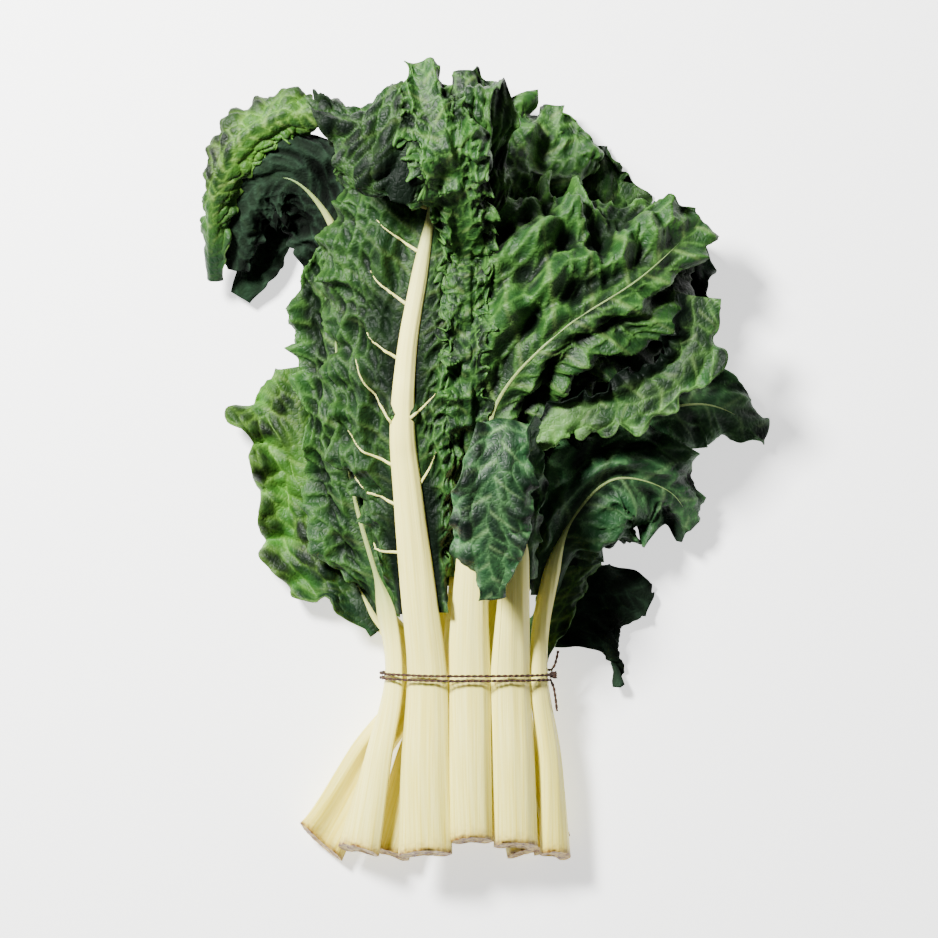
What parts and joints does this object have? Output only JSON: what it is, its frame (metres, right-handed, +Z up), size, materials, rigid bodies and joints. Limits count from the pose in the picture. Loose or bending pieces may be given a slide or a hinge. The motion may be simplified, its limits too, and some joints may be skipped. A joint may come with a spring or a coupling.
{
  "type": "bunch of chard",
  "caption": "Bunch of green chard lying on its back: broad pale stalks tied with twine, crinkled dark green leaves fanning out and folding over one another.",
  "frame": {"origin": "centre of the bounding box at its lowest level, on the surface that the bunch lies on", "axes": "+Y from the cut stalk ends to the leaf tips, +X across the bunch, +Z up from the surface it lies on, towards the side with the broad white rib"},
  "size_m": [0.2864, 0.4004, 0.1154],
  "materials": {
    "stalk": "smooth moist cream-white leaf stalk with fine lengthwise ribs and brown cut ends",
    "leaf_green": "waxy crinkled dark green leaf",
    "leaf_dark": "waxy crinkled very dark green leaf",
    "leaf_blue": "waxy bluish green leaf, smoother and slightly bloomed",
    "leaf_bright": "waxy fresh yellow-green leaf",
    "twine": "brown two-ply natural twine"
  },
  "bodies": {
    "root": {"back_left_stalk": "stalk", "back_left_blade": "leaf_dark", "back_right_stalk": "stalk", "back_right_blade": "leaf_dark", "lower_right_stalk": "stalk", "lower_right_blade": "leaf_dark", "left_low_stalk": "stalk", "left_low_blade": "leaf_bright", "arching_left_stalk": "stalk", "arching_left_blade": "leaf_bright", "right_point_stalk": "stalk", "right_point_blade": "leaf_dark", "right_low_stalk": "stalk", "right_low_blade": "leaf_blue", "left_mid_stalk": "stalk", "left_mid_blade": "leaf_green", "crown_stalk": "stalk", "crown_blade": "leaf_green", "right_big_stalk": "stalk", "right_big_blade": "leaf_green", "front_stalk": "stalk", "front_blade": "leaf_green", "hanging_stalk": "stalk", "hanging_blade": "leaf_blue", "twine": "twine"}
  },
  "joints": []
}
